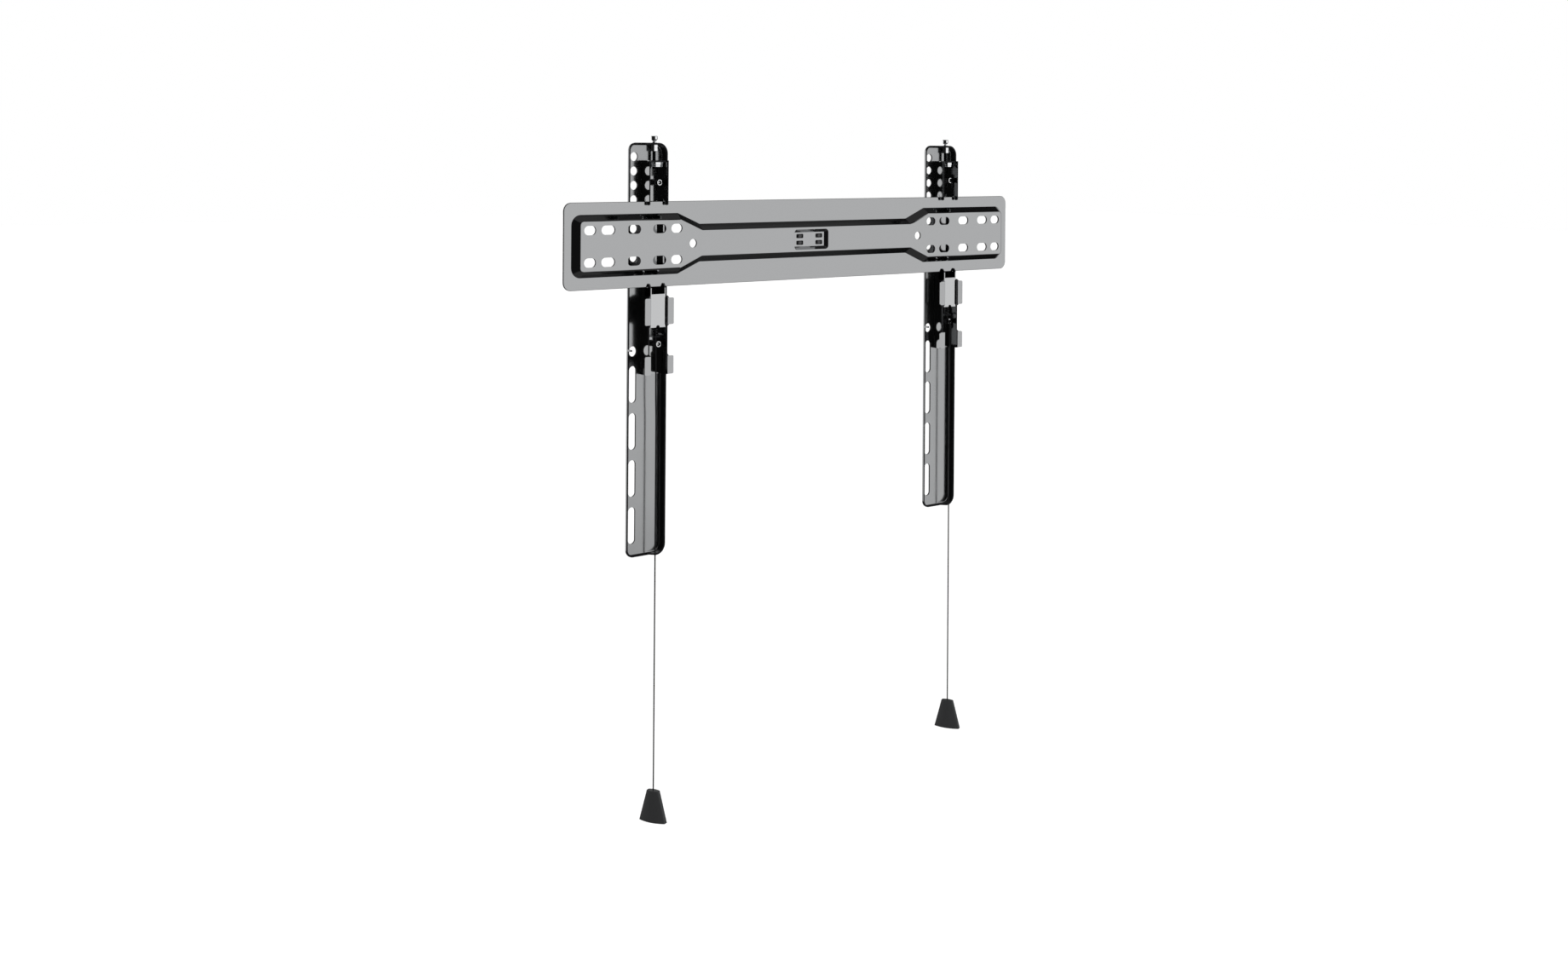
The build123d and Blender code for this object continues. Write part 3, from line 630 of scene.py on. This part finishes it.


# %% [markdown]
# Black steel with a bright head or painted highlights
# The screws are black with a bright head. The studs are black, and their flat faces that turn to
# the wall get a painted highlight. One number, a height or a direction, tells the two colours
# apart.

# %% Black steel with a bright head or painted highlights
def make_black_with_bright_part(name, vector_node, output, axis, value):
    """Blackened steel that is bright where one number of a vector passes a value; on the studs
    the bright faces are a painted highlight.
    """
    material, nodes, links, shader = new_material(name, SHADE_AND_STEEL_BLACK, 1.0, 0.12)
    source = nodes.new(vector_node)
    numbers = nodes.new("ShaderNodeSeparateXYZ")
    links.new(source.outputs[output], numbers.inputs["Vector"])
    paint = nodes.new("ShaderNodeMix")
    paint.data_type = "RGBA"
    bright = compare(nodes, links, numbers.outputs[axis], "GREATER_THAN", value)
    links.new(bright, paint.inputs["Factor"])
    paint.inputs["A"].default_value = (*SHADE_AND_STEEL_BLACK, 1.0)
    paint.inputs["B"].default_value = (*ZINC_AND_HIGHLIGHT, 1.0)
    links.new(paint.outputs["Result"], shader.inputs["Base Color"])
    return material


PAINTED_HIGHLIGHT_FACING = 0.97
screw_steel = make_black_with_bright_part("screw_steel", "ShaderNodeTexCoord", "Object", "Z", COLLAR_Z)
# The studs' flat faces that turn to the wall are painted bright zinc as a highlight.
stud_steel = make_black_with_bright_part("stud_steel", "ShaderNodeNewGeometry", "Normal", "Y", PAINTED_HIGHLIGHT_FACING)


# %% [markdown]
# Plastics, cord and level
# Moulded plastic is dull with a fine grain. The cord's braid is two waves that cross.

# %% Plastics, cord and level
def make_plastic(name, color, roughness, grain):
    material, nodes, links, shader = new_material(name, color, 0.0, roughness)
    texture = noise_on_object(nodes, links, grain, 2.0)
    grained = spread(nodes, links, texture, roughness * 0.9, roughness * 1.1)
    links.new(grained, shader.inputs["Roughness"])
    add_bump(nodes, links, shader, texture, 0.00004, 0.25)
    return material


grip_plastic = make_plastic("grip_plastic", (0.035, 0.036, 0.038), 0.55, 1500.0)
bush_plastic = make_plastic("bush_plastic", (0.03, 0.03, 0.032), 0.40, 1200.0)
level_plastic = make_plastic("level_plastic", (0.03, 0.03, 0.032), 0.35, 1200.0)


def make_cord_braid(name):
    """Fine braid: two waves that cross on the cord's own surface."""
    material, nodes, links, shader = new_material(name, (0.012, 0.012, 0.013), 0.0, 0.8)
    place = nodes.new("ShaderNodeTexCoord")
    heights = []
    for turn in (0.7, -0.7):
        mapping = nodes.new("ShaderNodeMapping")
        mapping.inputs["Rotation"].default_value = (0.0, turn, 0.0)
        wave = nodes.new("ShaderNodeTexWave")
        wave.bands_direction = "Z"
        wave.inputs["Scale"].default_value = 700.0
        links.new(place.outputs["Object"], mapping.inputs["Vector"])
        links.new(mapping.outputs["Vector"], wave.inputs["Vector"])
        heights.append(wave.outputs["Fac"])
    crossing = nodes.new("ShaderNodeMath")
    crossing.operation = "MAXIMUM"
    links.new(heights[0], crossing.inputs[0])
    links.new(heights[1], crossing.inputs[1])
    add_bump(nodes, links, shader, crossing.outputs["Value"], 0.0002, 0.6)
    shader.inputs["Specular IOR Level"].default_value = 0.15
    return material


cord_braid = make_cord_braid("cord_braid")

level_glass, _, _, glass_shader = new_material("level_glass", (0.65, 0.85, 0.25), 0.0, 0.05)
glass_shader.inputs["Transmission Weight"].default_value = 0.8
glass_shader.inputs["IOR"].default_value = 1.45

# %% [markdown]
# Dressing the frame
# The engineering nodes already have their true shapes, so most of them only need a finish. The
# table pairs the last words of a node's name with its material, for both arms at once.

# %% Give every node its finish
FINISHES = {
    "wall_plate": plate_lacquer,
    "level_holder": level_plastic,
    "level_vial": level_glass,
    "tv_arm": arm_lacquer,
    "hook_carrier": carrier_lacquer,
    "latch": latch_lacquer,
    "guide_bush": bush_plastic,
    "lock_nut": zinc,
    "latch_pin": zinc,
    "cord_ferrule": zinc,
}
dressed = 0
for name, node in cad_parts.items():
    for ending, material in FINISHES.items():
        if name.endswith(ending):
            for slot in node.material_slots:
                slot.material = material
            dressed += 1
for side in SIDES:
    cords[side].data.materials.append(cord_braid)
    grips[side].data.materials.append(grip_plastic)
for pieces, material in ((screws, screw_steel), (nuts, zinc), (studs, stud_steel)):
    for piece in pieces:
        piece.data.materials.append(material)
for spring in springs:
    spring.data.materials.append(spring_wire)
print("nodes dressed", dressed)

# %% [markdown]
# The studio
# Polished metal is lit by what it mirrors. The pale floor lies far below, as it would under a
# wall mount, and the white backdrop belongs to the world. What the metal mirrors is a dark tent,
# and one soft lamp lights the room.

# %% World and floor
world = bpy.data.worlds.new("studio_world")
bpy.context.scene.world = world
world.use_nodes = True
world_nodes = world.node_tree.nodes
world_links = world.node_tree.links
world_nodes.clear()
rays = world_nodes.new("ShaderNodeLightPath")
seen_or_mirrored = world_nodes.new("ShaderNodeMath")
seen_or_mirrored.operation = "MAXIMUM"
seen = world_nodes.new("ShaderNodeMath")
seen.operation = "MAXIMUM"
strength = world_nodes.new("ShaderNodeMapRange")
strength.inputs["To Min"].default_value = 0.7
strength.inputs["To Max"].default_value = 1.0
background = world_nodes.new("ShaderNodeBackground")
background.inputs["Color"].default_value = (1.0, 1.0, 1.0, 1.0)
world_output = world_nodes.new("ShaderNodeOutputWorld")
world_links.new(rays.outputs["Is Camera Ray"], seen_or_mirrored.inputs[0])
world_links.new(rays.outputs["Is Glossy Ray"], seen_or_mirrored.inputs[1])
world_links.new(seen_or_mirrored.outputs["Value"], seen.inputs[0])
world_links.new(rays.outputs["Is Transmission Ray"], seen.inputs[1])
world_links.new(seen.outputs["Value"], strength.inputs["Value"])
world_links.new(strength.outputs["Result"], background.inputs["Strength"])
world_links.new(background.outputs["Background"], world_output.inputs["Surface"])

bpy.ops.object.select_all(action="DESELECT")
bpy.ops.mesh.primitive_plane_add(size=60.0, location=(0.0, 0.0, -1.3))
floor = bpy.context.object
floor.name = "studio_floor"


# %% Floor finish
FLOOR_LIFT = 0.45


def make_floor():
    """Pale floor that keeps its soft shadow and is lifted to white for the camera."""
    material, nodes, links, shader = new_material("pale_floor", (0.85, 0.85, 0.85), 0.0, 0.8)
    path = nodes.new("ShaderNodeLightPath")
    lift = nodes.new("ShaderNodeMath")
    lift.operation = "MULTIPLY"
    lift.inputs[1].default_value = FLOOR_LIFT
    links.new(path.outputs["Is Camera Ray"], lift.inputs[0])
    shader.inputs["Emission Color"].default_value = (1.0, 1.0, 1.0, 1.0)
    links.new(lift.outputs["Value"], shader.inputs["Emission Strength"])
    return material


floor.data.materials.append(make_floor())


# %% [markdown]
# The dark tent
# Polished metal goes black where it mirrors something dark. A photographer hangs black cloth
# around such an object and leaves gaps in it for the bright walls of the room. Here the tent is
# one big flattened ball that glows white in two windows with soft edges and is black elsewhere.
# Only mirror rays see it: it casts no shadow and gives no light to dull surfaces.

# %% Dark tent with two windows
TENT_RADIUS = 3.5
TENT_FLATNESS = 0.35
WINDOWS = [((90.0, 170.0), 26.0), ((-128.0, -38.0), 26.0)]
WINDOW_SOFTNESS = 16.0
CLOTH_LIGHT = 0.012
CEILING_LIGHT = 0.06


def window_light(point):
    """Brightness of the tent at a point: 1 in a window, falling softly past its edges."""
    bearing = degrees(atan2(point.y, point.x))
    rise = degrees(atan2(point.z, hypot(point.x, point.y)))
    brightest = 0.0
    for (low, high), reach in WINDOWS:
        margin = min(bearing - low, high - bearing, reach - abs(rise))
        share = min(1.0, max(0.0, margin / WINDOW_SOFTNESS + 0.5))
        brightest = max(brightest, share * share * (3 - 2 * share))
    dim = CEILING_LIGHT if abs(rise) > 45.0 else CLOTH_LIGHT
    return max(dim, brightest)


bpy.ops.object.select_all(action="DESELECT")
bpy.ops.mesh.primitive_uv_sphere_add(segments=180, ring_count=90, radius=TENT_RADIUS)
tent = bpy.context.object
tent.name = "dark_tent"
bpy.ops.object.mode_set(mode="EDIT")
bpy.ops.mesh.select_all(action="SELECT")
bpy.ops.transform.resize(value=(1.0, 1.0, TENT_FLATNESS), center_override=(0.0, 0.0, 0.0))
bpy.ops.object.mode_set(mode="OBJECT")
glow_values = tent.data.attributes.new("window_light", "FLOAT", "POINT")
for vertex, value in zip(tent.data.vertices, glow_values.data):
    value.value = window_light(vertex.co)


def make_tent_cloth():
    """A cloth that glows by the brightness stored on the tent's own points."""
    material, nodes, links, shader = new_material("tent_cloth", (0.0, 0.0, 0.0), 0.0, 1.0)
    stored = nodes.new("ShaderNodeAttribute")
    stored.attribute_name = "window_light"
    shader.inputs["Specular IOR Level"].default_value = 0.0
    shader.inputs["Emission Color"].default_value = (1.0, 1.0, 1.0, 1.0)
    links.new(stored.outputs["Fac"], shader.inputs["Emission Strength"])
    return material


tent.data.materials.append(make_tent_cloth())
tent.visible_camera = False
tent.visible_diffuse = False
tent.visible_transmission = False
tent.visible_shadow = False
print("tent points", len(tent.data.vertices))

# %% Lamps
def add_lamp(name, location, aim, size, power):
    lamp_data = bpy.data.lights.new(name, "AREA")
    lamp_data.shape = "SQUARE"
    lamp_data.size = size
    lamp_data.energy = power
    lamp = bpy.data.objects.new(name, lamp_data)
    lamp.location = location
    lamp.rotation_euler = (Vector(aim) - Vector(location)).to_track_quat("-Z", "Y").to_euler()
    lamp.visible_glossy = False
    bpy.context.scene.collection.objects.link(lamp)
    return lamp


add_lamp("key_lamp", (-1.6, 2.4, 1.6), (0.0, 0.0, -0.1), 1.6, 40.0)
bpy.context.scene.view_settings.view_transform = "Standard"
